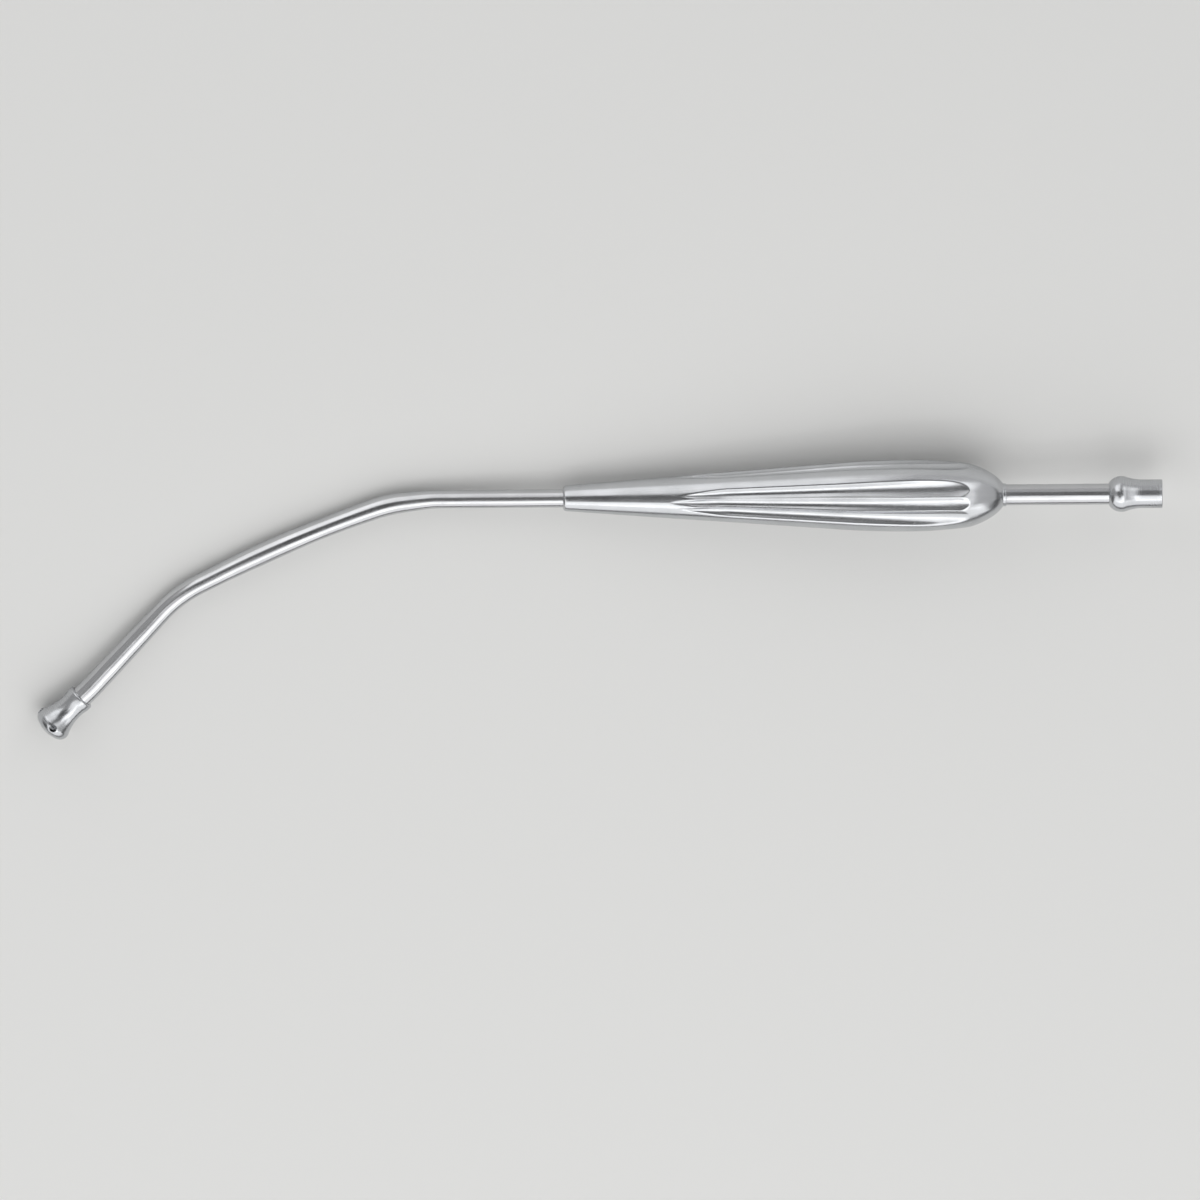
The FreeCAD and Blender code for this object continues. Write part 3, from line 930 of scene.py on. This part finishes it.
camera_data = bpy.data.cameras.new("camera")
camera_data.sensor_width = SENSOR_WIDTH_MM
camera_data.lens = SENSOR_WIDTH_MM * CAMERA_DISTANCE / PICTURE_WIDTH_M
camera_data.clip_end = CLIP_END
camera = bpy.data.objects.new("camera", camera_data)
camera.matrix_world = Matrix((
    (right.x, up.x, to_camera.x, 0),
    (right.y, up.y, to_camera.y, 0),
    (right.z, up.z, to_camera.z, 0),
    (0, 0, 0, 1),
))
camera.location = aim + to_camera * CAMERA_DISTANCE
bpy.context.scene.collection.objects.link(camera)
bpy.context.scene.camera = camera
print("camera direction", [round(v, 3) for v in to_camera], "aim", [round(v, 4) for v in aim])

# %% [markdown]
# ## Floor and light
# Polished metal shows its surroundings, so the lights are what draw it. Broad soft keys below the
# picture's middle give the long white bands, and softer ones above it grey the other side. The
# gap between them, behind the camera, leaves the dark line down the middle of each tube, and only
# a narrow dim panel lightens it over the handle. Round pieces, such as the cap and the head, also
# mirror what lies past the instrument's two ends, so upright panels stand there.

# %% Floor
FLOOR_HALF = 4.0
FLOOR_COLOUR = (0.72, 0.72, 0.71, 1)
FLOOR_ROUGHNESS = 0.9
FLOOR_GLOSS = 0.2


def make_floor():
    """A plain sheet of pale paper."""
    mesh = bpy.data.meshes.new("floor")
    half = FLOOR_HALF
    corners = [(-half, -half, 0), (half, -half, 0), (half, half, 0), (-half, half, 0)]
    mesh.from_pydata(corners, [], [(0, 1, 2, 3)])
    floor = bpy.data.objects.new("floor", mesh)
    bpy.context.scene.collection.objects.link(floor)
    material = bpy.data.materials.new("floor_paper")
    material.use_nodes = True
    shader = material.node_tree.nodes["Principled BSDF"]
    shader.inputs["Base Color"].default_value = FLOOR_COLOUR
    shader.inputs["Roughness"].default_value = FLOOR_ROUGHNESS
    shader.inputs["Specular IOR Level"].default_value = FLOOR_GLOSS
    mesh.materials.append(material)
    return floor


floor = make_floor()
print("floor", 2 * FLOOR_HALF, "m across, with", len(floor.data.polygons), "face")

# %% Panels of light
CENTRE = (cad_box[0] + cad_box[1]) / 2


def hang(name, back, location, across_light, width, height, radiance):
    """An area light with its back along one direction and its width along another."""
    data = bpy.data.lights.new(name, "AREA")
    data.shape = "RECTANGLE"
    data.size = width
    data.size_y = height
    data.energy = radiance * math.pi * width * height
    light = bpy.data.objects.new(name, data)
    upward = back.cross(across_light)
    light.matrix_world = Matrix((
        (across_light.x, upward.x, back.x, location.x),
        (across_light.y, upward.y, back.y, location.y),
        (across_light.z, upward.z, back.z, location.z),
        (0, 0, 0, 1),
    ))
    bpy.context.scene.collection.objects.link(light)


def reach(start, end, distance):
    """The width of a flat panel that fills the angle between two directions."""
    return 2 * distance * math.tan(math.radians((end - start) / 2))


def softbox(name, start, end, left, right, distance, radiance, lean):
    """An area light that the metal shows between two angles from the camera's direction.

    The angles are in degrees, towards the top of the picture. left and right are where the light
    starts and ends along the handle's line, in metres from the middle of the instrument. A light
    that leans has its upper end moved to the right.
    """
    middle = math.radians((start + end) / 2)
    back = to_camera * math.cos(middle) + picture_up * math.sin(middle)
    location = CENTRE + back * distance + along * (left + right) / 2
    across_light = Matrix.Rotation(math.radians(-lean), 3, back) @ along
    hang(name, back, location, across_light, right - left, reach(start, end, distance), radiance)


def side_panel(name, start, end, low, high, distance, radiance):
    """An upright area light past one end of the instrument.

    The angles are in degrees from the camera's direction, and positive towards the hose's end.
    low and high are the light's two ends, in metres from the middle of the instrument.
    """
    middle = math.radians((start + end) / 2)
    back = to_camera * math.cos(middle) + along * math.sin(middle)
    location = CENTRE + back * distance + picture_up * (low + high) / 2
    across_light = along * math.cos(middle) - to_camera * math.sin(middle)
    hang(name, back, location, across_light, reach(start, end, distance), high - low, radiance)


print("lights stand round", [round(v, 4) for v in CENTRE])

# %% Hang the lights
# Name, start and end angle, left and right end, distance, radiance and lean.
SOFTBOXES = [
    ("key_low", -98, -50, -1.3, 1.3, 1.1, 1.15, 0),
    ("key_right", -56, -14, 0.04, 0.5, 1.1, 1.65, 7),
    ("key_middle", -56, -28, -0.3, 0.04, 1.1, 1.4, 0),
    ("key_left", -56, -14, -1.3, -0.3, 1.1, 1.25, 0),
    ("gap_fill", -14, 20, 0.0, 0.1, 1.1, 0.3, 0),
    ("upper_left", 20, 78, -0.75, 0.03, 0.9, 1.2, 6),
    ("fill_right", 28, 70, 0.1, 1.3, 1.4, 0.5, 0),
]
# Name, start and end angle, lower and upper end, distance and radiance.
SIDE_PANELS = [
    ("beyond_hose", 20, 42, -1.2, 1.1, 1.2, 1.0),
    ("far_right", 42, 80, -1.2, 1.1, 1.2, 0.5),
    ("far_left", -80, -26, -0.2, 1.6, 1.2, 0.33),
]

for panel in SOFTBOXES:
    softbox(*panel)
for panel in SIDE_PANELS:
    side_panel(*panel)

# %% The room
ROOM_GREY = (0.09, 0.09, 0.09, 1)

world = bpy.data.worlds.new("studio")
world.use_nodes = True
world.node_tree.nodes["Background"].inputs["Color"].default_value = ROOM_GREY
world.node_tree.nodes["Background"].inputs["Strength"].default_value = 1.0
bpy.context.scene.world = world
bpy.context.scene.view_settings.view_transform = "Standard"
print("room", ROOM_GREY[:3], "view", bpy.context.scene.view_settings.view_transform)
